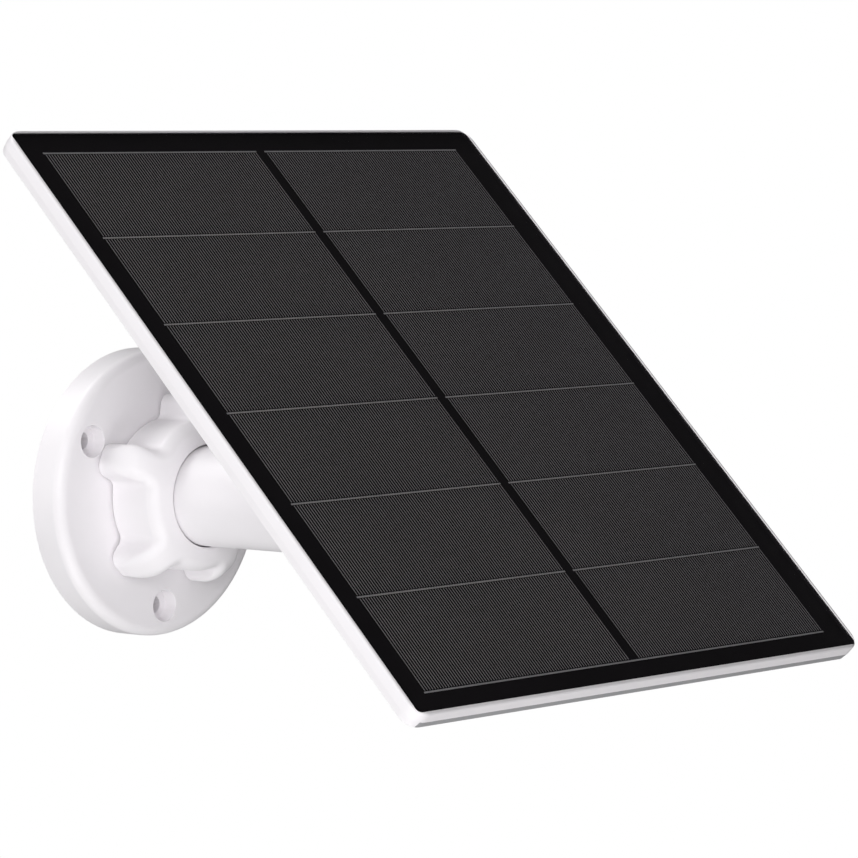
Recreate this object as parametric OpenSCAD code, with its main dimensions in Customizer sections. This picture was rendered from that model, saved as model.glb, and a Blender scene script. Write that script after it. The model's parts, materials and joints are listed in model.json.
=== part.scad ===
// Solar panel on a swivelling, tilting wall bracket.
// Millimetres, +Z up. The origin is the centre of the wall plate's back face, on the swivel axis.
// The wall is the plane y = 0 and the object stands out from it towards -Y.

/* [Solar module] */
// Width of the cover glass
glass_w = 167.4; // [140:0.2:210]
// Length of the cover glass, along the slope
glass_l = 181.6; // [150:0.2:230]
// Thickness of the cover glass
glass_t = 0.8; // [0.6:0.1:1.2]
// Corner radius of the cover glass
glass_corner = 1.8; // [1:0.1:3]
// Thickness of the backing sheet
backsheet_t = 0.4; // [0.3:0.1:0.8]
// Thickness of one solar cell
cell_t = 0.15; // [0.1:0.01:0.18]
// Black margin at the sides of the cells
side_margin = 7.7; // [5:0.1:12]
// Black margin above and below the cells
end_margin = 5.8; // [4:0.1:10]
// Black gap between the two columns of cells
column_gap = 3.2; // [2:0.1:6]
// Gap between two rows of cells, which holds a ribbon
row_gap = 0.6; // [0.4:0.05:1.5]
// Width of the silver ribbons
ribbon_w = 0.4; // [0.2:0.05:0.4]

/* [Panel housing] */
// Width of the frame's lip around the glass
lip_w = 1; // [0.8:0.1:3]
// Height of the lip above the glass
lip_raise = 0.3; // [0.2:0.1:1]
// Radius of the lip's outer edge
lip_round = 0.7; // [0.3:0.1:1]
// Plan corner radius of the housing
housing_corner = 4.5; // [3.5:0.1:7]
// Height of the frame's outer side, from its lip to the joint with the back cover
frame_side = 2.9; // [2.6:0.1:4]
// Overall thickness of the housing, from the lip to the flat back
housing_t = 12; // [11.6:0.2:16]
// Height of the back cover's upright band
cover_band = 2; // [1.5:0.1:3]
// Inward draft of that band
band_inset = 0.3; // [0:0.05:1]
// Width of the bevel between the band and the flat back
cover_bevel = 12.5; // [10:0.5:18]
// Wall thickness of the back cover
cover_wall = 2; // [1.6:0.1:2.4]
// Width of the shelf in the frame that carries the module
shelf_w = 10; // [9.6:0.2:16]
// Thickness of the grey trim strip along the lower edge
trim_t = 0.9; // [0.5:0.1:1]
// Distance of the cover screws from the housing's edge
screw_inset = 9; // [8.6:0.2:12]

/* [Tilt hinge] */
// Angle of the panel from horizontal in the rest pose
rest_tilt = 45; // [30:1:80]
// Distance from the wall to the tilt axis
hinge_out = 77.2; // [72:0.2:110]
// Distance from the glass face back to the tilt axis
hinge_depth = 40.8; // [38:0.2:60]
// Thickness of the arm's tongue
tongue_t = 13; // [9:0.5:16]
// Radius of the tongue about the tilt axis
tongue_r = 11.2; // [9:0.1:12]
// Thickness of each bracket ear
ear_t = 6.5; // [5.5:0.1:9]
// Radius of each bracket ear about the tilt axis
ear_r = 12; // [9:0.1:12.6]
// Thickness of the friction washers
friction_washer_t = 0.8; // [0.5:0.1:1.5]
// Radius of the tilt bolt
tilt_bolt_r = 2.5; // [2:0.1:3]
// Width of the bracket's base
bracket_w = 56; // [52:1:70]
// Length of the bracket's base, along the slope
bracket_l = 40; // [36:1:44]
// Thickness of the bracket's base
bracket_t = 3.5; // [3:0.1:5]

/* [Arm] */
// Radius of the round arm
arm_r = 12.95; // [12:0.05:14]
// Wall thickness of the round arm
arm_wall = 4.45; // [3:0.05:6]
// Width of the foot flange beyond the arm
foot_rim = 1.75; // [1.5:0.05:3]
// Thickness of the foot flange
foot_t = 4; // [3:0.1:5]
// Free space between the bracket's ears and the end of the round arm
ear_clear = 0.8; // [0.6:0.1:6]

/* [Wall plate] */
// Radius of the wall plate
plate_r = 37.4; // [36:0.2:50]
// Thickness of the wall plate
plate_t = 10; // [9:0.2:13]
// Radius of the plate's front edge
plate_round = 3; // [1:0.1:4]
// Thickness of the plate's face over its hollows
plate_face_t = 3; // [2:0.1:4]
// Distance from the plate's edge to the screw holes
screw_edge = 7.9; // [7:0.1:10]
// Radius of the screw holes
screw_hole_r = 2.25; // [1.8:0.05:3]
// Radius of the recesses for the screw heads
screw_recess_r = 4.15; // [3.6:0.05:4.6]
// Depth of the recesses for the screw heads
screw_recess_depth = 4; // [2:0.1:6]
// Wall thickness of the threaded collar
collar_wall = 2.15; // [1.8:0.05:3]
// Length of the threaded collar in front of the plate
collar_len = 10; // [9:0.1:12]

/* [Clamp knob] */
// Wall of the knob between its lobes
knob_wall = 2.62; // [2:0.02:4]
// Height of the lobes above that wall
lobe_h = 6.3; // [5:0.1:9]
// Half the width of a lobe
lobe_half_w = 4.5; // [4:0.1:6]
// Radius of a lobe's corners
lobe_corner = 3.2; // [2:0.1:3.8]
// Radius of the fillet at a lobe's root
root_fillet = 2.2; // [1.5:0.1:4]
// Length of the knob along the swivel axis
knob_len = 16.3; // [15.5:0.1:19]
// Radius of the knob's rounded shoulder
knob_dome_r = 13; // [8:0.5:14]
// Angle of the first lobe in the rest pose
knob_angle = 83; // [0:1:90]
// Thickness of the inner lip that presses on the clamp ring
knob_lip_t = 6.2; // [4:0.1:7]

/* [Charge port] */
// Distance of the port's centre below the panel's centre
port_down = 56; // [52:0.5:64]
// Width of the silicone flap
flap_w = 16; // [14:0.5:20]
// Length of the silicone flap, from its hinge pin
flap_l = 12.4; // [11:0.1:15]
// Thickness of the silicone flap
flap_t = 2.2; // [1.5:0.1:2.4]
// Width of the charge board
board_w = 58; // [54:1:80]
// Length of the charge board
board_l = 34; // [32:1:44]

/* [Hidden] */
$fn = 96;
CELL_ROWS = 6;
CELL_COLS = 2;
CELL_NODES = [for (i = [1 : CELL_ROWS * CELL_COLS]) str("solar_cell_", i < 10 ? "0" : "", i)];

// Colours
WHITE = [0.93, 0.93, 0.93];
BLACK = [0.09, 0.09, 0.09];
CELL_GREY = [0.2, 0.2, 0.21];
STEEL = [0.7, 0.7, 0.72];

// Clearances
touch_gap = 0.05;      // flat faces that slide on each other
turn_gap = 0.05;       // radial clearance of a turning fit
thread_gap = 0.08;     // radial clearance of the knob on its collar
open_gap = 0.35;       // free space around something that moves
glue_gap = 0.1;        // space around pieces that are bonded in
part_gap = 0.15;       // space around pieces that drop in
thread_seat = 0.01;    // radial clearance of a screw in its pilot hole
cut = 1;               // how far a cutting shape passes beyond a face

// Heights in the panel's own frame: z is 0 on the tilt axis and grows towards the sun
z_glass = hinge_depth;
z_lip = z_glass + lip_raise;
z_glass_back = z_glass - glass_t;
z_sheet_front = z_glass_back - 0.2;
z_sheet_back = z_sheet_front - backsheet_t;
seal_t = 0.2;
z_shelf = z_sheet_back - seal_t;
z_joint = z_lip - frame_side;
z_band = z_joint - cover_band;
z_back = z_lip - housing_t;
z_floor = z_back + cover_wall;
shelf_t = 1.3;
z_tongue = z_joint - shelf_t;
gasket_t = 0.6;
z_step = z_tongue - gasket_t;

housing_w = glass_w + 2 * lip_w;
housing_l = glass_l + 2 * lip_w;
tongue_inset = cover_wall + part_gap;
gasket_w = 1.4;
step_inset = cover_wall + gasket_w + 0.6;
floor_inset = band_inset + cover_bevel + cover_wall;

// Cells
cell_w = (glass_w - 2 * side_margin - column_gap) / CELL_COLS;
cell_pitch = (glass_l - 2 * end_margin) / CELL_ROWS;
cell_l = cell_pitch - row_gap;

// Cover screws
cover_screw_r = 1.25;
cover_screw_head_r = 2.4;
cover_screw_head_t = 1.5;
boss_r = 3.6;
frame_boss_r = 3;
boss_meet = 0.1;
wall_slope = (z_step - z_floor) / (floor_inset - step_inset);
z_boss = z_step - (screw_inset - frame_boss_r - step_inset) * wall_slope + 0.06;
z_cover_head = z_boss - 2.5;
cover_screw_spots = [
    for (sx = [-1, 1]) for (sy = [-1, 0, 1])
        [sx * (housing_w / 2 - screw_inset), sy * (housing_l / 2 - screw_inset)]];

// Tilt hinge
ear_in = tongue_t / 2 + touch_gap + friction_washer_t;
ear_out = ear_in + ear_t;
bolt_hole_r = tilt_bolt_r + turn_gap;
bolt_head_r = tilt_bolt_r + 2;
bolt_head_t = 3;
head_recess = bolt_head_t + 0.2;
nut_flats = 2 * (tilt_bolt_r + 1.5);
nut_t = 4;
nut_recess = nut_t + 0.2;
z_bracket = z_back - bracket_t;
bracket_screw_r = 1.4;
bracket_screw_head_r = 2.8;
bracket_screw_head_t = 1.7;
bracket_screw_len = 9;
bracket_screw_spots = [for (sx = [-1, 1]) for (sy = [-1, 1])
    [sx * (bracket_w / 2 - 7), sy * (bracket_l / 2 - 6)]];
ear_foot = min(ear_r + 4, bracket_l / 2);

// Stack on the swivel axis, as distances from the wall
washer_t = 0.8;
out_foot = plate_t + washer_t + touch_gap;
out_ring = out_foot + foot_t + touch_gap;
out_knob = plate_t + 0.5;
out_knob_front = out_knob + knob_len;
out_lip = out_knob_front - knob_lip_t;
arm_core_r = arm_r - arm_wall;
foot_r = arm_r + foot_rim;
collar_bore_r = foot_r + turn_gap;
collar_r = collar_bore_r + collar_wall;
spigot_r = arm_core_r - turn_gap;
spigot_len = 7;
knob_bore_r = collar_r + thread_gap;
knob_opening_r = arm_r + open_gap;
flute_r = knob_bore_r + knob_wall;
lobe_tip_r = flute_r + lobe_h;
ring_in_r = arm_r + turn_gap;
ring_out_r = foot_r;
shoulder_cone = 4;
shoulder_back = ear_r + ear_clear + shoulder_cone;
out_shoulder = hinge_out - shoulder_back;
screw_ring_r = plate_r - screw_edge;
arm_core_end = out_shoulder - 6;

// Charge port, flap and board
port_y = -port_down;
flap_pin_r = 0.5;
flap_barrel_r = 1.2;
flap_pin_y = port_y + flap_l / 2 + 0.6;
z_flap_pin = z_back + flap_barrel_r;
port_recess = flap_t + 0.6;
z_recess = z_back + port_recess;
recess_wall = 1.4;
recess_w = flap_w + 2 * open_gap;
recess_top = flap_pin_y + flap_barrel_r + open_gap;
recess_bottom = flap_pin_y - flap_l - open_gap;
socket_w = 9;
socket_h = 3.3;
socket_wall = 0.3;
z_socket_mouth = z_recess + 0.2;
socket_base_t = 0.8;
board_t = 1.2;
board_y = port_y + 10;
z_board_front = z_sheet_back - 1.6;
z_board = z_board_front - board_t;
z_socket_end = z_sheet_back - 0.4;
board_screw_r = 0.9;
board_screw_head_r = 1.9;
board_screw_head_t = 0.9;
board_boss_r = 2.6;
board_screw_spots = [for (sx = [-1, 1]) for (sy = [-1, 1])
    [sx * (board_w / 2 - 4), board_y + sy * (board_l / 2 - 4)]];
tab_x = 8;
tab_y = board_y + board_l / 2 - 5;
tab_w = 2.5;
tab_t = 0.2;
tab_foot = 4;

// Frames of reference

// z becomes the distance from the wall, x stays and y becomes up
module from_wall() {
    rotate([90, 0, 0]) children();
}

// The panel's own frame at the rest tilt: z along the panel's normal, y up the slope
module on_panel() {
    translate([0, -hinge_out, 0]) rotate([rest_tilt, 0, 0]) children();
}

// Shared shapes

// Rectangle with round corners
module round_rect(w, l, r) {
    square([w - 2 * r, l], center = true);
    square([w, l - 2 * r], center = true);
    for (sx = [-1, 1]) for (sy = [-1, 1])
        translate([sx * (w / 2 - r), sy * (l / 2 - r)]) circle(r);
}

// Upright plate with round corners from z0 to z1
module slab(w, l, r, z0, z1) {
    translate([0, 0, z0]) linear_extrude(z1 - z0) round_rect(w, l, r);
}

// Housing outline drawn in by an inset
module housing_slab(inset, z0, z1) {
    slab(housing_w - 2 * inset, housing_l - 2 * inset, max(housing_corner - inset, 1), z0, z1);
}

// Round bar or hole along X
module bar_x(r, x0, x1) {
    translate([x0, 0, 0]) rotate([0, 90, 0]) cylinder(r = r, h = x1 - x0);
}

// Flat slot with round ends, wide along X
module stadium(w, h) {
    square([w - h, h], center = true);
    for (s = [-1, 1]) translate([s * (w - h) / 2, 0]) circle(d = h);
}

// Profile, drawn outwards from the corner arc's centre, carried round a rounded rectangle
module around(w, l, r) {
    for (s = [0, 180]) rotate([0, 0, s]) {
        translate([w / 2 - r, 0, 0]) rotate([90, 0, 0])
            linear_extrude(l - 2 * r, center = true) children();
        translate([0, l / 2 - r, 0]) rotate([0, 0, 90]) rotate([90, 0, 0])
            linear_extrude(w - 2 * r, center = true) children();
        translate([w / 2 - r, l / 2 - r, 0]) rotate_extrude(angle = 90) children();
        translate([r - w / 2, l / 2 - r, 0]) rotate([0, 0, 90])
            rotate_extrude(angle = 90) children();
    }
}

// Wall plate: hollow disc with a threaded collar and a spigot for the arm

module screw_spots() {
    for (a = [30, 150, 270]) rotate([0, 0, a]) translate([screw_ring_r, 0, 0]) children();
}

module plate_profile() {
    square([plate_r - plate_round, plate_t]);
    square([plate_r, plate_t - plate_round]);
    translate([plate_r - plate_round, plate_t - plate_round]) circle(plate_round);
}

module plate_hollows() {
    depth = plate_t - plate_face_t;
    rib = 2;
    rim = 3;
    hub = collar_r + 2.5;
    difference() {
        translate([0, 0, -cut]) cylinder(r = plate_r - rim, h = depth + cut);
        translate([0, 0, -2 * cut]) cylinder(r = hub, h = plate_t + cut);
        for (a = [30 : 60 : 330]) rotate([0, 0, a]) translate([0, -rib / 2, -2 * cut])
            cube([plate_r, rib, plate_t + cut]);
        translate([0, 0, -2 * cut]) screw_spots() cylinder(r = 6, h = plate_t + cut);
    }
    difference() {
        translate([0, 0, -cut]) cylinder(r = collar_bore_r - 2, h = plate_t - 4 + cut);
        translate([0, 0, -2 * cut]) cylinder(r = 6, h = plate_t + cut);
    }
}

module wall_plate() {
    color(WHITE) from_wall() difference() {
        union() {
            rotate_extrude() intersection() {
                plate_profile();
                square([plate_r, plate_t]);
            }
            difference() {
                cylinder(r = collar_r, h = plate_t + collar_len);
                translate([0, 0, plate_t]) cylinder(r = collar_bore_r, h = collar_len + cut);
            }
            cylinder(r = spigot_r, h = out_foot + spigot_len);
        }
        plate_hollows();
        screw_spots() {
            translate([0, 0, -cut]) cylinder(r = screw_hole_r, h = plate_t + 2 * cut);
            translate([0, 0, plate_t - screw_recess_depth])
                cylinder(r = screw_recess_r, h = screw_recess_depth + cut);
        }
    }
}

// Nylon washer under the arm's foot
module thrust_washer() {
    color([0.85, 0.85, 0.8]) from_wall() translate([0, 0, plate_t]) difference() {
        cylinder(r = foot_r - glue_gap, h = washer_t);
        translate([0, 0, -cut]) cylinder(r = spigot_r + glue_gap, h = washer_t + 2 * cut);
    }
}

// Ring that the knob presses on the arm's foot
module clamp_ring() {
    color([0.3, 0.3, 0.3]) from_wall() translate([0, 0, out_ring]) difference() {
        cylinder(r = ring_out_r, h = out_lip - out_ring);
        translate([0, 0, -cut]) cylinder(r = ring_in_r, h = out_lip - out_ring + 2 * cut);
    }
}

// Clamp knob: five lobes under a rounded shoulder

// Points of an arc about a centre
function arc(x, y, r, from, to, steps) =
    [for (i = [0 : steps]) let (a = from + (to - from) * i / steps) [x + r * cos(a), y + r * sin(a)]];

// One lobe along +X and the flute after it, counter-clockwise: a fillet at each root,
// a round corner on each side of the tip, and the round body up to the next lobe
function lobe_points() = let (
        fillet_y = lobe_half_w + root_fillet,
        fillet_x = sqrt(pow(flute_r + root_fillet, 2) - pow(fillet_y, 2)),
        root = atan2(fillet_y, fillet_x),
        corner_x = lobe_tip_r - lobe_corner,
        corner_y = lobe_half_w - lobe_corner)
    concat(
        arc(fillet_x, -fillet_y, root_fillet, 180 - root, 90, 5),
        arc(corner_x, -corner_y, lobe_corner, -90, 0, 8),
        arc(corner_x, corner_y, lobe_corner, 0, 90, 8),
        arc(fillet_x, fillet_y, root_fillet, 270, 180 + root, 5),
        arc(0, 0, flute_r, root + 4, 68 - root, 6));

function turned(points, a) =
    [for (p = points) [p[0] * cos(a) - p[1] * sin(a), p[0] * sin(a) + p[1] * cos(a)]];

module knob_outline() {
    polygon([for (i = [0 : 4]) for (p = turned(lobe_points(), knob_angle + i * 72)) p]);
}

// Half profile of the rounded shoulder, a little wider than the lobes that it trims
module knob_dome() {
    dome_out_r = lobe_tip_r + 0.3;
    crown_r = dome_out_r - knob_dome_r;
    intersection() {
        union() {
            square([crown_r, knob_len]);
            square([dome_out_r, knob_len - knob_dome_r]);
            translate([crown_r, knob_len - knob_dome_r]) circle(knob_dome_r);
        }
        square([dome_out_r, knob_len]);
    }
}

module clamp_knob() {
    edge = 0.5;
    color(WHITE) from_wall() difference() {
        translate([0, 0, out_knob]) intersection() {
            linear_extrude(knob_len) knob_outline();
            rotate_extrude() knob_dome();
        }
        translate([0, 0, out_knob - cut]) cylinder(r = knob_bore_r, h = out_lip - out_knob + cut);
        cylinder(r = knob_opening_r, h = out_knob_front + cut);
        translate([0, 0, out_knob_front - edge])
            cylinder(r1 = knob_opening_r, r2 = knob_opening_r + 2 * edge, h = 2 * edge);
    }
}

// Arm: round tube with a foot flange at the wall and a drilled tongue at the panel
module swivel_arm() {
    color(WHITE) difference() {
        union() {
            from_wall() {
                translate([0, 0, out_foot]) cylinder(r = foot_r, h = foot_t);
                translate([0, 0, out_foot]) cylinder(r = arm_r, h = out_shoulder - out_foot);
                translate([0, 0, out_shoulder])
                    cylinder(r1 = arm_r, r2 = arm_r - shoulder_cone, h = shoulder_cone);
                translate([-tongue_t / 2, -tongue_r, out_shoulder - cut])
                    cube([tongue_t, 2 * tongue_r, shoulder_back + cut]);
            }
            translate([0, -hinge_out, 0]) bar_x(tongue_r, -tongue_t / 2, tongue_t / 2);
        }
        from_wall() translate([0, 0, out_foot - cut])
            cylinder(r = arm_core_r, h = arm_core_end - out_foot + cut);
        translate([0, -hinge_out, 0]) bar_x(bolt_hole_r, -tongue_t, tongue_t);
    }
}

// Tilt hinge

module ear_shape() {
    circle(ear_r);
    polygon([[-ear_r, 0], [ear_r, 0], [ear_foot, z_bracket + cut], [-ear_foot, z_bracket + cut]]);
}

module hinge_bracket() {
    color(WHITE) on_panel() difference() {
        union() {
            slab(bracket_w, bracket_l, 6, z_bracket, z_back);
            for (x0 = [ear_in, -ear_out]) translate([x0, 0, 0]) rotate([90, 0, 90])
                linear_extrude(ear_t) ear_shape();
        }
        bar_x(bolt_hole_r, -ear_out - cut, ear_out + cut);
        bar_x(bolt_head_r + part_gap, -ear_out - cut, head_recess - ear_out);
        translate([ear_out - nut_recess, 0, 0]) rotate([0, 90, 0])
            cylinder(d = (nut_flats + part_gap) / cos(30), h = nut_recess + cut, $fn = 6);
        for (p = bracket_screw_spots) translate([p[0], p[1], z_bracket - cut])
            cylinder(r = bracket_screw_r + part_gap, h = bracket_t + 2 * cut);
    }
}

module tilt_bolt() {
    key_r = 1.7;
    color(STEEL) on_panel() difference() {
        union() {
            bar_x(bolt_head_r, head_recess - bolt_head_t - ear_out, head_recess - ear_out);
            bar_x(tilt_bolt_r, head_recess - ear_out - cut, ear_out);
        }
        translate([-ear_out - cut, 0, 0]) rotate([0, 90, 0])
            cylinder(r = key_r, h = head_recess, $fn = 6);
    }
}

module tilt_nut() {
    color(STEEL) on_panel() translate([ear_out - nut_recess, 0, 0]) rotate([0, 90, 0])
        difference() {
            cylinder(d = nut_flats / cos(30), h = nut_t, $fn = 6);
            translate([0, 0, -cut]) cylinder(r = tilt_bolt_r + thread_seat, h = nut_t + 2 * cut);
        }
}

module friction_washers() {
    color([0.25, 0.25, 0.25]) on_panel()
        for (x0 = [tongue_t / 2 + touch_gap, -ear_in]) difference() {
            bar_x(tongue_r - 0.4, x0, x0 + friction_washer_t);
            bar_x(tilt_bolt_r + glue_gap, x0 - cut, x0 + friction_washer_t + cut);
        }
}

module pan_screw(head_r, head_t, shank_r, shank_len) {
    slot_w = 0.7;
    difference() {
        translate([0, 0, -head_t]) cylinder(r = head_r, h = head_t);
        for (a = [0, 90]) rotate([0, 0, a])
            translate([-0.6 * head_r, -slot_w / 2, -head_t - cut])
                cube([1.2 * head_r, slot_w, cut + 0.5 * head_t]);
    }
    cylinder(r = shank_r, h = shank_len);
}

module bracket_screws() {
    color(STEEL) on_panel() for (p = bracket_screw_spots) translate([p[0], p[1], z_bracket])
        pan_screw(bracket_screw_head_r, bracket_screw_head_t, bracket_screw_r, bracket_screw_len);
}

// Panel housing

module frame_side_profile() {
    flat = housing_corner - lip_round;
    intersection() {
        translate([0, z_joint]) union() {
            square([flat, frame_side]);
            square([housing_corner, frame_side - lip_round]);
            translate([flat, frame_side - lip_round]) circle(lip_round);
        }
        translate([0, z_joint]) square([housing_corner, frame_side]);
    }
}

module panel_frame() {
    pocket_w = glass_w + 2 * glue_gap;
    pocket_l = glass_l + 2 * glue_gap;
    color(WHITE) on_panel() difference() {
        union() {
            around(housing_w, housing_l, housing_corner) frame_side_profile();
            housing_slab(tongue_inset, z_tongue, z_shelf);
            for (p = cover_screw_spots) translate([p[0], p[1], z_boss + boss_meet])
                cylinder(r = frame_boss_r, h = z_shelf - z_boss - boss_meet);
        }
        slab(pocket_w, pocket_l, glass_corner + glue_gap, z_shelf, z_lip + cut);
        slab(glass_w - 2 * shelf_w, glass_l - 2 * shelf_w, 4, z_boss - 2 * cut, z_lip + cut);
        for (p = cover_screw_spots) translate([p[0], p[1], z_boss - cut])
            cylinder(r = cover_screw_r + thread_seat, h = z_shelf - z_boss + 2 * cut);
    }
}

module cover_glass() {
    color([0.6, 0.65, 0.7, 0.3]) on_panel()
        slab(glass_w, glass_l, glass_corner, z_glass_back, z_glass);
}

module backing_sheet() {
    color(BLACK) on_panel() difference() {
        slab(glass_w, glass_l, glass_corner, z_sheet_back, z_sheet_front);
        for (s = [-1, 1]) translate([s * tab_x, tab_y, (z_sheet_back + z_sheet_front) / 2])
            cube([tab_w + 2 * glue_gap, tab_t + 2 * glue_gap, 2 * backsheet_t], center = true);
    }
}

module edge_seal() {
    bead_w = 3;
    edge = 1;
    color([0.15, 0.15, 0.15]) on_panel() difference() {
        slab(glass_w - 2 * edge, glass_l - 2 * edge, glass_corner, z_shelf, z_sheet_back);
        slab(glass_w - 2 * (edge + bead_w), glass_l - 2 * (edge + bead_w), glass_corner,
             z_shelf - cut, z_sheet_back + cut);
    }
}

// Cells are numbered along each row, starting at the row next to the wall
module solar_cell(i) {
    col = i % CELL_COLS;
    row = floor(i / CELL_COLS);
    x = (col - (CELL_COLS - 1) / 2) * (cell_w + column_gap);
    y = ((CELL_ROWS - 1) / 2 - row) * cell_pitch;
    color(CELL_GREY) on_panel() translate([x, y, z_sheet_front + cell_t / 2])
        cube([cell_w, cell_l, cell_t], center = true);
}

module cell_ribbons() {
    tie_l = 2;
    color([0.6, 0.6, 0.6]) on_panel() for (col = [0 : CELL_COLS - 1]) {
        x = (col - (CELL_COLS - 1) / 2) * (cell_w + column_gap);
        for (row = [0 : CELL_ROWS]) translate([x, (row - CELL_ROWS / 2) * cell_pitch,
                                               z_sheet_front + cell_t / 2])
            cube([cell_w, ribbon_w, cell_t], center = true);
    }
    color([0.6, 0.6, 0.6]) on_panel()
        translate([0, -CELL_ROWS / 2 * cell_pitch, z_sheet_front + cell_t / 2])
            cube([column_gap + tie_l, ribbon_w, cell_t], center = true);
}

module lead_tabs() {
    color([0.75, 0.6, 0.4]) on_panel() for (s = [-1, 1]) translate([s * tab_x, tab_y, 0]) {
        translate([-tab_w / 2, -tab_t / 2, z_board_front])
            cube([tab_w, tab_t, z_sheet_front - z_board_front]);
        translate([-tab_w / 2, -tab_foot, z_board_front]) cube([tab_w, tab_foot, tab_t]);
    }
}

// Back cover: a band, a wide bevel and a flat back

module cover_outside() {
    thin = 0.01;
    hull() {
        housing_slab(0, z_joint - thin, z_joint, $fn = 32);
        housing_slab(band_inset, z_band, z_band + thin, $fn = 32);
        housing_slab(band_inset + cover_bevel, z_back, z_back + thin, $fn = 32);
    }
}

// Space of the trim strip set into the band along the lower edge, between the two corners
module trim_space(grow) {
    side = housing_w / 2 - housing_corner * 0.7 + grow;
    difference() {
        translate([-side, -housing_l / 2 - cut, z_band - grow])
            cube([2 * side, housing_l / 4, cover_band + grow + cut]);
        housing_slab(trim_t + grow, z_band - grow - cut, z_joint + 2 * cut);
    }
}

module cover_inside() {
    thin = 0.01;
    housing_slab(cover_wall, z_step, z_joint + cut);
    hull() {
        housing_slab(step_inset, z_step, z_step + thin, $fn = 32);
        housing_slab(floor_inset, z_floor, z_floor + thin, $fn = 32);
    }
}

module cover_bosses() {
    for (p = cover_screw_spots) translate([p[0], p[1], z_back]) cylinder(r = boss_r, h = z_boss - z_back);
    for (p = bracket_screw_spots) translate([p[0], p[1], z_back])
        cylinder(r = boss_r, h = bracket_screw_len - bracket_t + 1.5);
    for (p = board_screw_spots) translate([p[0], p[1], z_back])
        cylinder(r = board_boss_r, h = z_board - z_back);
    translate([-recess_w / 2 - 2, recess_bottom - 2, z_back])
        cube([recess_w + 4, recess_top - recess_bottom + 4, port_recess + recess_wall]);
}

module cover_cuts() {
    for (p = cover_screw_spots) translate([p[0], p[1], z_back - cut]) {
        cylinder(r = cover_screw_head_r + part_gap, h = z_cover_head - z_back + cut);
        cylinder(r = cover_screw_r + part_gap, h = housing_t);
    }
    for (p = bracket_screw_spots) translate([p[0], p[1], z_back - cut])
        cylinder(r = bracket_screw_r + thread_seat, h = bracket_screw_len - bracket_t + 0.5 + cut);
    for (p = board_screw_spots) translate([p[0], p[1], z_floor])
        cylinder(r = board_screw_r + thread_seat, h = housing_t);
    translate([-recess_w / 2, recess_bottom, z_back - cut])
        cube([recess_w, recess_top - recess_bottom, port_recess + cut]);
    translate([0, port_y, z_recess - cut]) linear_extrude(recess_wall + 2 * cut)
        stadium(socket_w + 2 * part_gap, socket_h + 2 * part_gap);
    translate([0, flap_pin_y, z_flap_pin])
        bar_x(flap_pin_r + thread_seat, -recess_w / 2 - 1.5, recess_w / 2 + 1.5);
}

module lower_trim() {
    color([0.45, 0.45, 0.46]) on_panel() intersection() {
        cover_outside();
        trim_space(0);
    }
}

module back_cover() {
    color(WHITE) on_panel() difference() {
        intersection() {
            union() {
                difference() {
                    cover_outside();
                    cover_inside();
                }
                cover_bosses();
            }
            cover_outside();
        }
        cover_cuts();
        trim_space(0.03);
    }
}

module cover_gasket() {
    inset = cover_wall + part_gap;
    color([0.2, 0.2, 0.2]) on_panel() difference() {
        housing_slab(inset, z_step, z_tongue);
        housing_slab(inset + gasket_w, z_step - cut, z_tongue + cut);
    }
}

module cover_screws() {
    color(STEEL) on_panel() for (p = cover_screw_spots) translate([p[0], p[1], z_cover_head])
        pan_screw(cover_screw_head_r, cover_screw_head_t, cover_screw_r,
                  z_shelf - z_cover_head - 0.1);
}

// Charge board and what stands on it

module charge_board() {
    color([0.05, 0.3, 0.15]) on_panel() difference() {
        translate([0, board_y, 0]) slab(board_w, board_l, 2, z_board, z_board_front);
        translate([0, port_y, z_board - cut]) linear_extrude(board_t + 2 * cut)
            stadium(socket_w + 2 * glue_gap, socket_h + 2 * glue_gap);
        for (p = board_screw_spots) translate([p[0], p[1], z_board - cut])
            cylinder(r = board_screw_r + part_gap, h = board_t + 2 * cut);
    }
}

module board_screws() {
    reach = z_board_front - z_floor - 0.5;
    color(STEEL) on_panel() for (p = board_screw_spots)
        translate([p[0], p[1], z_board_front]) mirror([0, 0, 1])
            pan_screw(board_screw_head_r, board_screw_head_t, board_screw_r, reach);
}

// Block that hangs under the board at a place on it
module under_board(x, y, size) {
    translate([x - size[0] / 2, board_y + y - size[1] / 2, z_board - size[2]]) cube(size);
}

module regulator_chip() {
    color(BLACK) on_panel() under_board(16, 8, [5, 5, 1]);
}

module inductor() {
    color([0.3, 0.3, 0.3]) on_panel() under_board(17, -3, [6, 6, 2.8]);
}

module capacitors() {
    color([0.7, 0.6, 0.45]) on_panel() for (y = [-4, 0, 4, 8])
        under_board(-17, y, [3.2, 1.6, 1.4]);
}

module blocking_diode() {
    color(BLACK) on_panel() under_board(0, 11, [4.3, 2.6, 1.1]);
}

module socket_shell() {
    color(STEEL) on_panel() translate([0, port_y, z_socket_mouth])
        linear_extrude(z_socket_end - z_socket_mouth) difference() {
            stadium(socket_w, socket_h);
            stadium(socket_w - 2 * socket_wall, socket_h - 2 * socket_wall);
        }
}

module socket_insulator() {
    tongue_size = [6.6, 0.7];
    tongue_short = 0.6;
    color(BLACK) on_panel() translate([0, port_y, 0]) {
        translate([0, 0, z_socket_end - socket_base_t]) linear_extrude(socket_base_t)
            stadium(socket_w - 2 * socket_wall - 0.04, socket_h - 2 * socket_wall - 0.04);
        translate([0, 0, z_socket_mouth + tongue_short])
            linear_extrude(z_socket_end - z_socket_mouth - tongue_short)
                square(tongue_size, center = true);
    }
}

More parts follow.
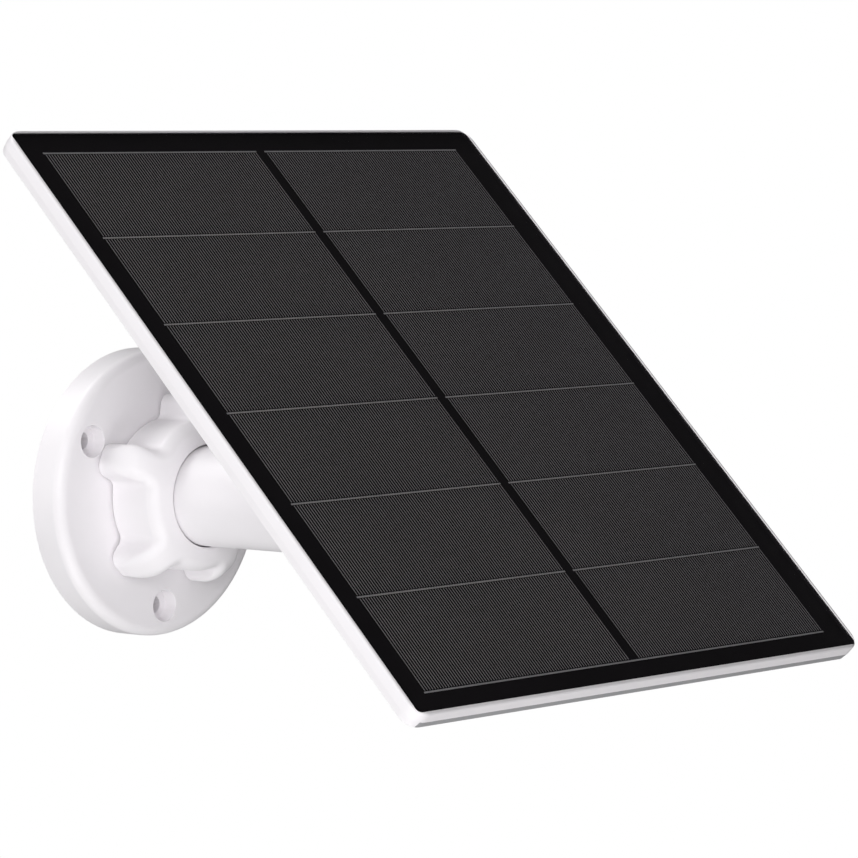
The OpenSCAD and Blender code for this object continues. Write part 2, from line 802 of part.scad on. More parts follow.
module socket_contacts() {
    contact_w = 0.25;
    contact_t = 0.06;
    pitch = 0.5;
    z_start = z_socket_mouth + 1;
    contact_l = z_socket_end - socket_base_t - z_start - 0.9;
    color([0.85, 0.65, 0.25]) on_panel() translate([0, port_y, z_start])
        for (i = [-5.5 : 1 : 5.5]) for (s = [-1, 1])
            translate([i * pitch - contact_w / 2, s * (0.35 + contact_t / 2) - contact_t / 2, 0])
                cube([contact_w, contact_t, contact_l]);
}

// Silicone flap over the socket: a plate with a hinge barrel and a finger ridge
module port_cover() {
    ridge = 0.8;
    color([0.85, 0.85, 0.85]) on_panel() translate([0, flap_pin_y, 0]) difference() {
        union() {
            translate([-flap_w / 2, -flap_l, z_back]) cube([flap_w, flap_l, flap_t]);
            translate([0, 0, z_flap_pin]) bar_x(flap_barrel_r, -flap_w / 2, flap_w / 2);
            translate([-flap_w / 4, -flap_l, z_back - ridge]) cube([flap_w / 2, 1.2, ridge + cut]);
        }
        translate([0, 0, z_flap_pin]) bar_x(flap_pin_r + turn_gap, -flap_w, flap_w);
    }
}

module port_hinge_pin() {
    color(STEEL) on_panel() translate([0, flap_pin_y, z_flap_pin])
        bar_x(flap_pin_r, -recess_w / 2 - 1.4, recess_w / 2 + 1.4);
}

wall_plate();
thrust_washer();
clamp_ring();
clamp_knob();
swivel_arm();
hinge_bracket();
tilt_bolt();
tilt_nut();
friction_washers();
bracket_screws();
panel_frame();
cover_glass();
backing_sheet();
edge_seal();
cell_ribbons();
lead_tabs();
back_cover();
lower_trim();
cover_gasket();
cover_screws();
charge_board();
board_screws();
regulator_chip();
inductor();
capacitors();
blocking_diode();
socket_shell();
socket_insulator();
socket_contacts();
port_cover();
port_hinge_pin();
for (i = [0 : len(CELL_NODES) - 1])
    solar_cell(i);
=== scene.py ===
"""Looks of a small solar panel on a swivelling, tilting wall bracket.

Metres, +Z up. The wall is the plane y = 0 and the object stands out from it towards -Y.
Two frames are used besides the world's: the wall frame (x, up, out), whose last value is the distance
from the wall, and the panel frame (across, up the slope, along the panel's normal), whose origin is
on the tilt axis.
"""

import json
import math

import bmesh
import bpy
import numpy as np
from mathutils import Matrix, Vector

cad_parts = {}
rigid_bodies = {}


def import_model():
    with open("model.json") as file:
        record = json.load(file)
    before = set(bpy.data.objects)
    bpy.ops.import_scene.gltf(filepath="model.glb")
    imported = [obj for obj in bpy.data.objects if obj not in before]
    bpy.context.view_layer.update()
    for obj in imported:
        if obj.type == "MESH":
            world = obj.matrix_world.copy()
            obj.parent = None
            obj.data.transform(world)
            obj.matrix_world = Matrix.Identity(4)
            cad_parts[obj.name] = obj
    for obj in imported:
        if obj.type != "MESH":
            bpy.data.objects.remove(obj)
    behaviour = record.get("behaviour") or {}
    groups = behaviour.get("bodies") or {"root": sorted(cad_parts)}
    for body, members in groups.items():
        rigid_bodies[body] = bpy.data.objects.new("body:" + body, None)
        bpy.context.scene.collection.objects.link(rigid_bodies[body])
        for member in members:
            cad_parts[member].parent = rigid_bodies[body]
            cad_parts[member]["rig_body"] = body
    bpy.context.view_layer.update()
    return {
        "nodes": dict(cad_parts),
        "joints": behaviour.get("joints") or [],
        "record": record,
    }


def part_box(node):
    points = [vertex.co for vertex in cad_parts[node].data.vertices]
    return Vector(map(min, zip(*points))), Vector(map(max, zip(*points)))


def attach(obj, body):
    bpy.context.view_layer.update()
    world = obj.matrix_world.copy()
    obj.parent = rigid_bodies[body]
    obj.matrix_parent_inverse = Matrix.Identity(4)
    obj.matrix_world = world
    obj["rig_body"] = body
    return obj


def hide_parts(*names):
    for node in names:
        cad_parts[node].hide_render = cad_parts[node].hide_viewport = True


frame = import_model()
MM = 0.001
WORLD_AXIS_X = np.array([1.0, 0.0, 0.0])


# ---------------------------------------------------------------- frames and boxes

def node_points(node):
    """The corners of a CAD node's mesh, one row each."""
    mesh = frame["nodes"][node].data
    flat = np.empty(len(mesh.vertices) * 3, np.float32)
    mesh.vertices.foreach_get("co", flat)
    return flat.reshape(-1, 3).astype(float)


def glass_normal():
    """The direction in which the cover glass's largest face looks, turned upwards."""
    largest = max(frame["nodes"]["cover_glass"].data.polygons, key=lambda p: p.area)
    direction = np.array(largest.normal)
    return direction * np.sign(direction[2])


JOINT = {j["name"]: j for j in frame["joints"]}
TILT_AXIS = np.array(JOINT["panel_tilt"]["pos_m"], float)
NORMAL = glass_normal()
PANEL = np.array([WORLD_AXIS_X, np.cross(NORMAL, WORLD_AXIS_X), NORMAL])


def from_panel(points):
    """Panel frame to world: the three values times the panel's three directions, from the tilt axis."""
    return np.asarray(points, float) @ PANEL + TILT_AXIS


def from_wall(points):
    """Wall frame to world: x stays, up becomes z, and out becomes -y."""
    points = np.asarray(points, float)
    return np.stack([points[..., 0], -points[..., 2], points[..., 1]], axis=-1)


def panel_box(node):
    """Lowest and highest corner of a CAD node in the panel frame."""
    points = (node_points(node) - TILT_AXIS) @ PANEL.T
    return points.min(0), points.max(0)


def wall_span(node):
    """Distances from the wall at which a CAD node starts and ends."""
    low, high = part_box(node)
    return -high.y, -low.y


# ---------------------------------------------------------------- materials

def new_material(name):
    """An empty material, with its node tree, its surface shader and its Object coordinates."""
    mat = bpy.data.materials.new(name)
    mat.use_nodes = True
    tree = mat.node_tree
    shader = tree.nodes["Principled BSDF"]
    where = tree.nodes.new("ShaderNodeTexCoord")
    return mat, tree, shader, where.outputs["Object"]


def noise(tree, where, size, detail=3.0, roughness=0.55):
    """Noise whose lumps are about size metres across."""
    node = tree.nodes.new("ShaderNodeTexNoise")
    node.inputs["Scale"].default_value = 1.0 / size
    node.inputs["Detail"].default_value = detail
    node.inputs["Roughness"].default_value = roughness
    tree.links.new(where, node.inputs["Vector"])
    return node.outputs["Fac"]


def spread(tree, value, low, high, start=0.3, end=0.7):
    """Carries a value from start...end over to low...high."""
    node = tree.nodes.new("ShaderNodeMapRange")
    node.inputs["From Min"].default_value = start
    node.inputs["From Max"].default_value = end
    node.inputs["To Min"].default_value = low
    node.inputs["To Max"].default_value = high
    tree.links.new(value, node.inputs["Value"])
    return node.outputs["Result"]


def blend_colours(tree, factor, first, second):
    """Mixes two colours by a factor from 0 to 1."""
    node = tree.nodes.new("ShaderNodeMix")
    node.data_type = "RGBA"
    tree.links.new(factor, node.inputs["Factor"])
    node.inputs["A"].default_value = (*first, 1.0)
    node.inputs["B"].default_value = (*second, 1.0)
    return node.outputs["Result"]


def bump(tree, shader, height, depth, strength=1.0):
    """Raises the surface by a height from 0 to 1, times depth metres."""
    node = tree.nodes.new("ShaderNodeBump")
    node.inputs["Strength"].default_value = strength
    node.inputs["Distance"].default_value = depth
    tree.links.new(height, node.inputs["Height"])
    tree.links.new(node.outputs["Normal"], shader.inputs["Normal"])


def surface(name, dark, light, rough, patch=12 * MM, grain=0.35 * MM, depth=0.006 * MM, metal=0.0, ior=1.46):
    """A finish that drifts between two colours and two roughnesses over patches, with a fine grain."""
    mat, tree, shader, where = new_material(name)
    drift = noise(tree, where, patch)
    colour = blend_colours(tree, spread(tree, drift, 0.0, 1.0), dark, light)
    tree.links.new(colour, shader.inputs["Base Color"])
    fine = noise(tree, where, grain, detail=2.0)
    tree.links.new(spread(tree, fine, rough[0], rough[1]), shader.inputs["Roughness"])
    bump(tree, shader, fine, depth)
    shader.inputs["Metallic"].default_value = metal
    shader.inputs["IOR"].default_value = ior
    return mat


def white_plastic():
    """Moulded white shell: satin, with a spark-eroded grain and a slight drift in its white."""
    return surface("white_plastic", (0.862, 0.838, 0.862), (0.880, 0.856, 0.880), (0.36, 0.46),
                   patch=18 * MM, grain=0.28 * MM, depth=0.004 * MM)


def clear_cover():
    """Clear cover sheet: what lies behind shows through, under a thin satin reflection that grows
    towards grazing angles."""
    mat, tree, shader, where = new_material("clear_cover")
    tree.nodes.remove(shader)
    out = tree.nodes["Material Output"]
    clear = tree.nodes.new("ShaderNodeBsdfTransparent")
    clear.inputs["Color"].default_value = (0.985, 0.985, 0.985, 1.0)
    gloss = tree.nodes.new("ShaderNodeBsdfGlossy")
    tree.links.new(spread(tree, noise(tree, where, 0.5 * MM), 0.10, 0.16), gloss.inputs["Roughness"])
    share = tree.nodes.new("ShaderNodeFresnel")
    share.inputs["IOR"].default_value = 1.38
    side = tree.nodes.new("ShaderNodeNewGeometry")
    front_only = tree.nodes.new("ShaderNodeMath")
    front_only.operation = "MULTIPLY_ADD"
    tree.links.new(side.outputs["Backfacing"], front_only.inputs[0])
    front_only.inputs[1].default_value = -1.0
    tree.links.new(share.outputs["Fac"], front_only.inputs[2])
    front_only.use_clamp = True
    mix = tree.nodes.new("ShaderNodeMixShader")
    tree.links.new(front_only.outputs["Value"], mix.inputs["Fac"])
    tree.links.new(clear.outputs["BSDF"], mix.inputs[1])
    tree.links.new(gloss.outputs["BSDF"], mix.inputs[2])
    tree.links.new(mix.outputs["Shader"], out.inputs["Surface"])
    return mat


def cell_silicon():
    """Solar cell: near-black silicon with a faint cloudiness and fine speckle."""
    mat, tree, shader, where = new_material("cell_silicon")
    cloud = noise(tree, where, 22 * MM, detail=2.0)
    speck = noise(tree, where, 0.4 * MM, detail=2.0)
    both = tree.nodes.new("ShaderNodeMath")
    both.operation = "MULTIPLY_ADD"
    tree.links.new(speck, both.inputs[0])
    both.inputs[1].default_value = 0.5
    tree.links.new(cloud, both.inputs[2])
    factor = spread(tree, both.outputs["Value"], 0.0, 1.0, 0.5, 1.0)
    colour = blend_colours(tree, factor, (0.0060, 0.0054, 0.0062), (0.0085, 0.0078, 0.0088))
    tree.links.new(colour, shader.inputs["Base Color"])
    tree.links.new(spread(tree, speck, 0.42, 0.58), shader.inputs["Roughness"])
    bump(tree, shader, speck, 0.003 * MM)
    shader.inputs["IOR"].default_value = 1.15
    return mat


def circuit_board():
    """Solder-masked board: green with slightly lighter copper tracks that follow a grid of cells."""
    mat, tree, shader, where = new_material("circuit_board")
    tracks = tree.nodes.new("ShaderNodeTexVoronoi")
    tracks.distance = "CHEBYCHEV"
    tracks.feature = "F2"
    tracks.inputs["Scale"].default_value = 1.0 / (3.2 * MM)
    tree.links.new(where, tracks.inputs["Vector"])
    factor = spread(tree, tracks.outputs["Distance"], 0.0, 1.0, 0.55, 0.62)
    colour = blend_colours(tree, factor, (0.010, 0.075, 0.030), (0.022, 0.125, 0.052))
    tree.links.new(colour, shader.inputs["Base Color"])
    tree.links.new(spread(tree, noise(tree, where, 1 * MM), 0.28, 0.4), shader.inputs["Roughness"])
    bump(tree, shader, tracks.outputs["Distance"], 0.02 * MM, 0.4)
    return mat


MATERIAL = {
    "white_shell": white_plastic(),
    "clear_cover": clear_cover(),
    "black_backing": surface("black_backing", (0.0085, 0.0072, 0.0088), (0.0105, 0.0090, 0.0108),
                             (0.42, 0.56), patch=9 * MM, grain=0.2 * MM, depth=0.002 * MM, ior=1.15),
    "solar_cell": cell_silicon(),
    "tinned_ribbon": surface("tinned_ribbon", (0.290, 0.284, 0.296), (0.350, 0.343, 0.357), (0.42, 0.55),
                             patch=2 * MM, grain=0.1 * MM, depth=0.002 * MM),
    "printed_silver": surface("printed_silver", (0.250, 0.244, 0.256), (0.315, 0.307, 0.321), (0.45, 0.58),
                              patch=2 * MM, grain=0.1 * MM, depth=0.002 * MM),
    "copper_tab": surface("copper_tab", (0.52, 0.24, 0.13), (0.64, 0.33, 0.19), (0.25, 0.4),
                          patch=2 * MM, grain=0.1 * MM, depth=0.003 * MM, metal=1.0),
    # grey_trim is painted shade: its mid grey stands in for the shade that falls on the downward-facing band
    # along the panel's lower edge
    "grey_trim": surface("grey_trim", (0.325, 0.325, 0.335), (0.355, 0.355, 0.365), (0.45, 0.58),
                         patch=8 * MM, grain=0.25 * MM, depth=0.006 * MM),
    "black_seal": surface("black_seal", (0.015, 0.015, 0.015), (0.024, 0.024, 0.024), (0.6, 0.75),
                          patch=5 * MM, grain=0.3 * MM, depth=0.01 * MM),
    "zinc_steel": surface("zinc_steel", (0.50, 0.50, 0.51), (0.66, 0.66, 0.67), (0.26, 0.42),
                          patch=1.6 * MM, grain=0.12 * MM, depth=0.003 * MM, metal=1.0),
    "nylon": surface("nylon", (0.62, 0.61, 0.57), (0.70, 0.69, 0.65), (0.42, 0.52),
                     patch=6 * MM, grain=0.3 * MM, depth=0.005 * MM),
    "black_polymer": surface("black_polymer", (0.018, 0.018, 0.019), (0.030, 0.030, 0.031), (0.4, 0.55),
                             patch=6 * MM, grain=0.3 * MM, depth=0.006 * MM),
    "board_green": circuit_board(),
    "ferrite": surface("ferrite", (0.045, 0.045, 0.048), (0.075, 0.075, 0.080), (0.55, 0.7),
                       patch=1 * MM, grain=0.12 * MM, depth=0.01 * MM),
    "ceramic_tan": surface("ceramic_tan", (0.36, 0.25, 0.15), (0.45, 0.33, 0.21), (0.4, 0.55),
                           patch=1 * MM, grain=0.12 * MM, depth=0.004 * MM),
    "gilt_contact": surface("gilt_contact", (0.80, 0.56, 0.20), (0.90, 0.68, 0.30), (0.2, 0.32),
                            patch=1 * MM, grain=0.1 * MM, depth=0.002 * MM, metal=1.0),
    "silicone_white": surface("silicone_white", (0.74, 0.74, 0.745), (0.79, 0.79, 0.795), (0.58, 0.7),
                              patch=7 * MM, grain=0.22 * MM, depth=0.008 * MM),
}


def slot_of(node):
    """The record's material slot of a CAD node."""
    for part in frame["record"]["subparts"]:
        if part.get("node", part.get("name")) == node:
            return part["material_slot"]
    raise ValueError(node)


def paint_cad_nodes():
    """Gives every CAD node the finish of its material slot."""
    for name, node in frame["nodes"].items():
        finish = MATERIAL[slot_of(name)]
        for material_slot in node.material_slots:
            material_slot.material = finish


# ---------------------------------------------------------------- meshes

SOFT_EDGE = 0.3 * MM
SMALL_SOFT_EDGE = 0.12 * MM
EDGE_ANGLE = math.radians(35)
FLAT_ANGLE = math.radians(0.4)
SAME_POINT = 0.001 * MM


def grid_faces(rows, cols, wrap_rows=False, wrap_cols=True):
    """Four-sided faces between neighbouring rows and columns of a grid of points."""
    r, c = np.meshgrid(np.arange(rows if wrap_rows else rows - 1),
                       np.arange(cols if wrap_cols else cols - 1), indexing="ij")
    r_next, c_next = (r + 1) % rows, (c + 1) % cols
    corners = [r * cols + c, r * cols + c_next, r_next * cols + c_next, r_next * cols + c]
    return np.stack(corners, axis=-1).reshape(-1, 4)


def add_piece(name, mesh, body, slot, crease=38.0, finish=None):
    """Makes a mesh a piece on a body: outward faces, smooth shading with creases, and its slot's finish
    unless another is named."""
    work = bmesh.new()
    work.from_mesh(mesh)
    bmesh.ops.recalc_face_normals(work, faces=work.faces[:])
    work.to_mesh(mesh)
    work.free()
    mesh.shade_smooth()
    mesh.set_sharp_from_angle(angle=math.radians(crease))
    mesh.materials.clear()
    mesh.materials.append(MATERIAL[finish or slot])
    piece = bpy.data.objects.new(name, mesh)
    bpy.context.scene.collection.objects.link(piece)
    weigh = piece.modifiers.new("even_shading", "WEIGHTED_NORMAL")
    weigh.keep_sharp = True
    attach(piece, body)
    return piece


def grid_piece(name, points, body, slot, wrap_rows=False, wrap_cols=True, finish=None):
    """A piece from a grid of world points, shaped (rows, columns, 3)."""
    mesh = bpy.data.meshes.new(name)
    rows, cols = points.shape[:2]
    faces = grid_faces(rows, cols, wrap_rows, wrap_cols)
    mesh.from_pydata(points.reshape(-1, 3).tolist(), [], faces.tolist())
    return add_piece(name, mesh, body, slot, finish=finish)


def softened(node, width, steps=3):
    """A copy of a CAD node's mesh with its doubles merged, its flat faces made whole, and each edge
    sharper than 35 degrees rolled over by width metres. It stands for the node."""
    mesh = frame["nodes"][node].data.copy()
    mesh.name = node + "_soft"
    work = bmesh.new()
    work.from_mesh(mesh)
    bmesh.ops.remove_doubles(work, verts=work.verts[:], dist=SAME_POINT)
    bmesh.ops.dissolve_limit(work, angle_limit=FLAT_ANGLE, verts=work.verts[:], edges=work.edges[:])
    work.to_mesh(mesh)
    work.free()
    body = frame["nodes"][node]["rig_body"]
    slot = slot_of(node)
    piece = bpy.data.objects.new(node + "_soft", mesh)
    mesh.shade_smooth()
    mesh.materials.clear()
    mesh.materials.append(MATERIAL[slot])
    bpy.context.scene.collection.objects.link(piece)
    roll = piece.modifiers.new("soft_edges", "BEVEL")
    roll.width = width
    roll.segments = steps
    roll.limit_method = "ANGLE"
    roll.angle_limit = EDGE_ANGLE
    roll.use_clamp_overlap = True
    weigh = piece.modifiers.new("even_shading", "WEIGHTED_NORMAL")
    weigh.keep_sharp = False
    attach(piece, body)
    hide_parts(node)
    return piece


# ---------------------------------------------------------------- clamp knob

LOBES = 5
FIRST_LOBE = math.radians(83)
LOBE_HALF_WIDTH = 4.5 * MM
LOBE_CORNER = 3.2 * MM
FLUTE_RADIUS = 19.6 * MM
ROOT_FILLET = 2.2 * MM
SHOULDER_RADIUS = 13 * MM
SHOULDER_REACH = 0.3 * MM
KNOB_OPENING = 13.3 * MM
KNOB_BORE = 16.98 * MM
KNOB_LIP = 6.2 * MM
KNOB_ROLL = 2.6 * MM
KNOB_BACK_ROLL = 0.7 * MM
OPENING_ROLL = 0.5 * MM
BORE_CHAMFER = 0.4 * MM
KNOB_COLUMNS = 420


def arc(x, y, radius, start, end, steps):
    """Points of an arc about (x, y), from one angle to another."""
    a = np.radians(np.linspace(start, end, steps))
    return np.stack([x + radius * np.cos(a), y + radius * np.sin(a)], axis=1)


def lobe_outline(tip_radius):
    """One lobe along +x and the flute after it: a fillet at each root, a round corner on each side of
    the tip, and an arc of the body up to the next lobe."""
    fillet_y = LOBE_HALF_WIDTH + ROOT_FILLET
    fillet_x = math.sqrt((FLUTE_RADIUS + ROOT_FILLET) ** 2 - fillet_y ** 2)
    root = math.degrees(math.atan2(fillet_y, fillet_x))
    corner_x, corner_y = tip_radius - LOBE_CORNER, LOBE_HALF_WIDTH - LOBE_CORNER
    return np.concatenate([
        arc(fillet_x, -fillet_y, ROOT_FILLET, 180 - root, 90, 9),
        arc(corner_x, -corner_y, LOBE_CORNER, -90, 0, 13),
        arc(corner_x, corner_y, LOBE_CORNER, 0, 90, 13),
        arc(fillet_x, fillet_y, ROOT_FILLET, 270, 180 + root, 9),
        arc(0, 0, FLUTE_RADIUS, root + 2.5, 360 / LOBES - 2.5 - root, 12)])


def turned(points, angle):
    """Points turned about the origin."""
    c, s = math.cos(angle), math.sin(angle)
    return points @ np.array([[c, s], [-s, c]])


def evenly(points, count):
    """A closed line resampled at equal steps of its length."""
    closed = np.vstack([points, points[:1]])
    along = np.concatenate([[0], np.cumsum(np.linalg.norm(np.diff(closed, axis=0), axis=1))])
    at = np.linspace(0, along[-1], count, endpoint=False)
    return np.stack([np.interp(at, along, closed[:, k]) for k in (0, 1)], axis=1)


def outward(points):
    """Unit normals of a closed counter-clockwise line, square to the chord between its neighbours."""
    chord = np.roll(points, -1, axis=0) - np.roll(points, 1, axis=0)
    normal = np.stack([chord[:, 1], -chord[:, 0]], axis=1)
    return normal / np.linalg.norm(normal, axis=1, keepdims=True)


def make_knob():
    """Clamp knob as one closed grid. Columns go round the lobed outline. Rows go from the back face,
    over a small roll, up the side, over a wide roll and in along a dome to the opening, then down the
    opening, out along the inner lip and back down the bore.
    The dome's height at a radius is that of a quarter circle between the crown and the lobe tips, and
    the wide roll lowers it near the outline by the drop of a quarter circle of its own."""
    back, front = wall_span("clamp_knob")
    length = front - back
    reach = node_points("clamp_knob")
    tip = np.hypot(reach[:, 0], reach[:, 2]).max()
    line = np.concatenate([turned(lobe_outline(tip), FIRST_LOBE + i * math.tau / LOBES)
                           for i in range(LOBES)])
    line = evenly(line, KNOB_COLUMNS)
    normal = outward(line)
    crown = tip + SHOULDER_REACH - SHOULDER_RADIUS

    def dome(radius):
        """Height of the dome over the back face at a radius."""
        beyond = np.clip(radius - crown, 0, SHOULDER_RADIUS)
        return length - SHOULDER_RADIUS + np.sqrt(SHOULDER_RADIUS ** 2 - beyond ** 2)

    def row(points, height):
        """Wall-frame points at a height over the back face."""
        height = np.broadcast_to(height, len(points))
        return np.column_stack([points, back + height])

    def circle(radius, height):
        """A row on a circle, each point at the angle of its point on the outline."""
        angle = np.arctan2(line[:, 1], line[:, 0])
        return row(radius * np.stack([np.cos(angle), np.sin(angle)], axis=1), height)

    rows = []
    for a in np.radians(np.linspace(-90, 0, 6)):
        rows.append(row(line - normal * KNOB_BACK_ROLL * (1 - math.cos(a)),
                        KNOB_BACK_ROLL * (1 + math.sin(a))))
    edge_height = dome(np.linalg.norm(line, axis=1)) - KNOB_ROLL
    for t in np.linspace(0, 1, 8)[1:-1]:
        rows.append(row(line, KNOB_BACK_ROLL + t * (edge_height - KNOB_BACK_ROLL)))
    for a in np.radians(np.linspace(0, 90, 11)):
        points = line - normal * KNOB_ROLL * (1 - math.cos(a))
        rows.append(row(points, dome(np.linalg.norm(points, axis=1)) - KNOB_ROLL * (1 - math.sin(a))))
    inner = line - normal * KNOB_ROLL
    rim = circle(KNOB_OPENING + OPENING_ROLL, 0)[:, :2]
    for t in np.linspace(0, 1, 16)[1:]:
        points = inner * (1 - t) + rim * t
        rows.append(row(points, dome(np.linalg.norm(points, axis=1))))
    for a in np.radians(np.linspace(90, 0, 6))[1:]:
        rows.append(circle(KNOB_OPENING + OPENING_ROLL * (1 - math.cos(a)),
                           length - OPENING_ROLL * (1 - math.sin(a))))
    lip = length - KNOB_LIP
    for radius, height in [(KNOB_OPENING, lip), (KNOB_BORE, lip), (KNOB_BORE, BORE_CHAMFER),
                           (KNOB_BORE + BORE_CHAMFER, 0)]:
        rows.append(circle(radius, height))
    points = from_wall(np.array(rows))
    knob = grid_piece("knob_shell", points, "knob", "white_shell", wrap_rows=True)
    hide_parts("clamp_knob")
    return knob


# ---------------------------------------------------------------- glass edge

GLASS_CORNER = 1.8 * MM
SEALANT_INNER = 0.01 * MM
SEALANT_OUTER = 0.09 * MM
SEALANT_DIP = 0.02 * MM


def rounded_rectangle(half_x, half_y, radius, steps=10):
    """Counter-clockwise outline of a rectangle with round corners."""
    quarters = []
    for i, (sx, sy) in enumerate([(1, 1), (-1, 1), (-1, -1), (1, -1)]):
        x, y = sx * (half_x - radius), sy * (half_y - radius)
        quarters.append(arc(x, y, radius, 90 * i, 90 * i + 90, steps))
    return np.concatenate(quarters)


def make_edge_fill():
    """Black sealant around the cover sheet, level with its face: a closed ring with a four-sided
    section, from the sheet's edge out to the frame and from the backing to the sheet's face."""
    low, high = panel_box("cover_glass")
    middle, half = (low + high) / 2, (high - low) / 2
    bottom, top = panel_box("backing_sheet")[0][2], high[2] - SEALANT_DIP
    rows = []
    for grow, z in [(SEALANT_INNER, bottom), (SEALANT_OUTER, bottom),
                    (SEALANT_OUTER, top), (SEALANT_INNER, top)]:
        outline = rounded_rectangle(half[0] + grow, half[1] + grow, GLASS_CORNER + grow)
        rows.append(np.column_stack([outline + middle[:2], np.full(len(outline), z)]))
    return grid_piece("edge_sealant", from_panel(np.array(rows)), "panel", "black_seal", wrap_rows=True,
                      finish="black_backing")


# ---------------------------------------------------------------- cell fingers

FINGERS_PER_CELL = 80
FINGER_WIDTH = 0.23 * MM
FINGER_HEIGHT = 0.02 * MM
FINGER_END_GAP = 0.2 * MM
FINGER_SUNK = 0.25


def make_fingers(cell):
    """The fine silver lines printed on a cell: flat strips that run up the slope, at an even pitch
    across the cell, each a box on the cell's face."""
    low, high = panel_box(cell)
    pitch = (high[0] - low[0]) / FINGERS_PER_CELL
    middle = low[0] + pitch * (np.arange(FINGERS_PER_CELL) + 0.5)
    corner = np.array([[x, y, z] for z in (0, 1) for y in (0, 1) for x in (-0.5, 0.5)])
    points = np.empty((FINGERS_PER_CELL, 8, 3))
    points[..., 0] = middle[:, None] + corner[:, 0] * FINGER_WIDTH
    points[..., 1] = low[1] + FINGER_END_GAP + corner[:, 1] * (high[1] - low[1] - 2 * FINGER_END_GAP)
    points[..., 2] = high[2] - FINGER_HEIGHT * FINGER_SUNK + corner[:, 2] * FINGER_HEIGHT
    sides = np.array([[0, 2, 3, 1], [4, 5, 7, 6], [0, 1, 5, 4], [2, 6, 7, 3], [0, 4, 6, 2], [1, 3, 7, 5]])
    faces = (np.arange(FINGERS_PER_CELL)[:, None, None] * 8 + sides).reshape(-1, 4)
    mesh = bpy.data.meshes.new("fingers")
    mesh.from_pydata(from_panel(points).reshape(-1, 3).tolist(), [], faces.tolist())
    return add_piece(cell.replace("solar_cell", "cell_fingers"), mesh, "panel", "tinned_ribbon",
                     finish="printed_silver")


# ---------------------------------------------------------------- studio

# The camera's direction and distance from the middle of the glass, and how far aside it aims
AZIMUTH = math.radians(49.09)
ELEVATION = math.radians(3.897)
ROLL = math.radians(0.253)
DISTANCE = 1.0507
AIM_RIGHT = -0.00354
AIM_DOWN = 0.00833
FOCAL_LENGTH = 180.2
SENSOR = 36.0

# Strength of the surroundings, of what is mirrored of them, and how dim they are straight below
WORLD_LIGHT = 0.05
MIRRORED_WORLD = 0.03
BELOW_SHARE = 0.42

# Name, direction, size, distance and power of each light
SOFTBOXES = [
    ("beside_camera", (-0.80, -0.58, 0.12), 0.8, 1.6, 12.0),
    ("raised_left", (-0.80, -0.35, 0.45), 1.0, 1.6, 6.0),
    ("above_behind", (-0.30, 0.55, 0.80), 1.0, 1.6, 16.0),
    ("left_behind", (-0.80, 0.55, 0.15), 1.0, 1.6, 3.0),
    ("low_left", (-0.45, -0.55, -0.70), 0.5, 0.72, 1.8),
]
LIT_POINT = Vector((0, -0.06, 0))

FLOOR_SIDES = 96
FLOOR_RADIUS = 1.5
FLOOR_HEIGHT = -1.0
FLOOR_MIDDLE_Y = -0.1
FLOOR_GLOW = 0.15


def make_camera():
    """A long lens that looks at the middle of the glass from the left, just above it."""
    forward = Vector((math.cos(ELEVATION) * math.sin(AZIMUTH), math.cos(ELEVATION) * math.cos(AZIMUTH),
                      -math.sin(ELEVATION)))
    level = Vector((math.cos(AZIMUTH), -math.sin(AZIMUTH), 0))
    top = level.cross(forward)
    right = level * math.cos(ROLL) - top * math.sin(ROLL)
    up = right.cross(forward)
    low, high = panel_box("cover_glass")
    middle = Vector(from_panel([(low[0] + high[0]) / 2, (low[1] + high[1]) / 2, high[2]]))
    place = middle + right * AIM_RIGHT - up * AIM_DOWN - forward * DISTANCE
    data = bpy.data.cameras.new("camera")
    data.lens = FOCAL_LENGTH
    data.sensor_width = SENSOR
    data.clip_start = 0.01
    camera = bpy.data.objects.new("camera", data)
    camera.matrix_world = Matrix(((right.x, up.x, -forward.x, place.x), (right.y, up.y, -forward.y, place.y),
                                  (right.z, up.z, -forward.z, place.z), (0, 0, 0, 1)))
    bpy.context.scene.collection.objects.link(camera)
    bpy.context.scene.camera = camera
    return camera


def make_world(strength, mirrored):
    """White surroundings, dimmer below, and dimmer still where they are only mirrored."""
    world = bpy.data.worlds.new("studio")
    world.use_nodes = True
    tree = world.node_tree
    sky = tree.nodes["Background"]
    where = tree.nodes.new("ShaderNodeTexCoord")
    split = tree.nodes.new("ShaderNodeSeparateXYZ")
    tree.links.new(where.outputs["Generated"], split.inputs["Vector"])
    height = tree.nodes.new("ShaderNodeMapRange")
    height.inputs["From Min"].default_value = -1.0
    height.inputs["From Max"].default_value = 0.6
    height.inputs["To Min"].default_value = BELOW_SHARE * strength
    height.inputs["To Max"].default_value = strength
    tree.links.new(split.outputs["Z"], height.inputs["Value"])
    rays = tree.nodes.new("ShaderNodeLightPath")
    gloss = tree.nodes.new("ShaderNodeMix")
    tree.links.new(rays.outputs["Is Glossy Ray"], gloss.inputs["Factor"])
    tree.links.new(height.outputs["Result"], gloss.inputs["A"])
    gloss.inputs["B"].default_value = mirrored
    seen = tree.nodes.new("ShaderNodeMix")
    tree.links.new(rays.outputs["Is Camera Ray"], seen.inputs["Factor"])
    tree.links.new(gloss.outputs["Result"], seen.inputs["A"])
    seen.inputs["B"].default_value = 1.0
    tree.links.new(seen.outputs["Result"], sky.inputs["Strength"])
    sky.inputs["Color"].default_value = (1, 1, 1, 1)
    bpy.context.scene.world = world


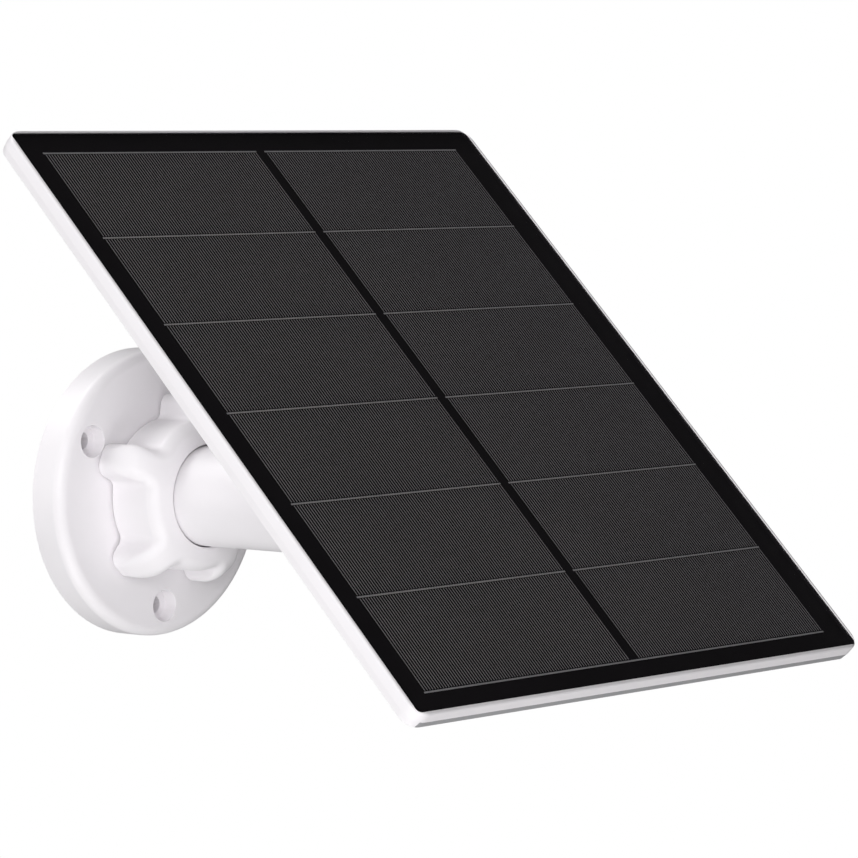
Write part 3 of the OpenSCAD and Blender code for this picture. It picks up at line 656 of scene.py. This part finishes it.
def softbox(name, toward, size, distance, power):
    """A square light that faces the object from a direction."""
    data = bpy.data.lights.new(name, "AREA")
    data.size = size
    data.energy = power
    light = bpy.data.objects.new(name, data)
    place = LIT_POINT + Vector(toward).normalized() * distance
    light.rotation_euler = (LIT_POINT - place).to_track_quat("-Z", "Y").to_euler()
    light.location = place
    bpy.context.scene.collection.objects.link(light)
    return light


def make_floor():
    """A plain pale disc well below the object, a little lit from under."""
    a = np.linspace(0, math.tau, FLOOR_SIDES, endpoint=False)
    ring = np.column_stack([FLOOR_RADIUS * np.cos(a), FLOOR_RADIUS * np.sin(a) + FLOOR_MIDDLE_Y,
                            np.full(FLOOR_SIDES, FLOOR_HEIGHT)])
    mesh = bpy.data.meshes.new("floor")
    mesh.from_pydata(ring.tolist(), [], [list(range(FLOOR_SIDES))])
    finish = surface("floor_white", (0.88, 0.88, 0.88), (0.90, 0.90, 0.90), (0.7, 0.8),
                     patch=0.2, grain=2 * MM, depth=0.02 * MM)
    glow = finish.node_tree.nodes["Principled BSDF"]
    glow.inputs["Emission Color"].default_value = (1, 1, 1, 1)
    glow.inputs["Emission Strength"].default_value = FLOOR_GLOW
    mesh.materials.append(finish)
    floor = bpy.data.objects.new("floor", mesh)
    bpy.context.scene.collection.objects.link(floor)
    return floor


def make_studio():
    """Camera, surroundings, lights and floor."""
    make_camera()
    make_world(WORLD_LIGHT, MIRRORED_WORLD)
    for light in SOFTBOXES:
        softbox(*light)
    make_floor()
    bpy.context.scene.view_settings.view_transform = "Standard"


# ---------------------------------------------------------------- assembly

paint_cad_nodes()
make_knob()
for white in ("wall_plate", "swivel_arm", "hinge_bracket", "panel_frame", "back_cover", "port_cover"):
    softened(white, SOFT_EDGE)
# lower_trim's grey finish is painted shade: a grey strip under the frame that stands in for the shade on the
# panel's lower edge
for small in ("tilt_bolt", "tilt_nut", "bracket_screws", "cover_screws", "lower_trim"):
    softened(small, SMALL_SOFT_EDGE, steps=2)
make_edge_fill()
for cell_node in sorted(n for n in frame["nodes"] if n.startswith("solar_cell")):
    make_fingers(cell_node)
make_studio()
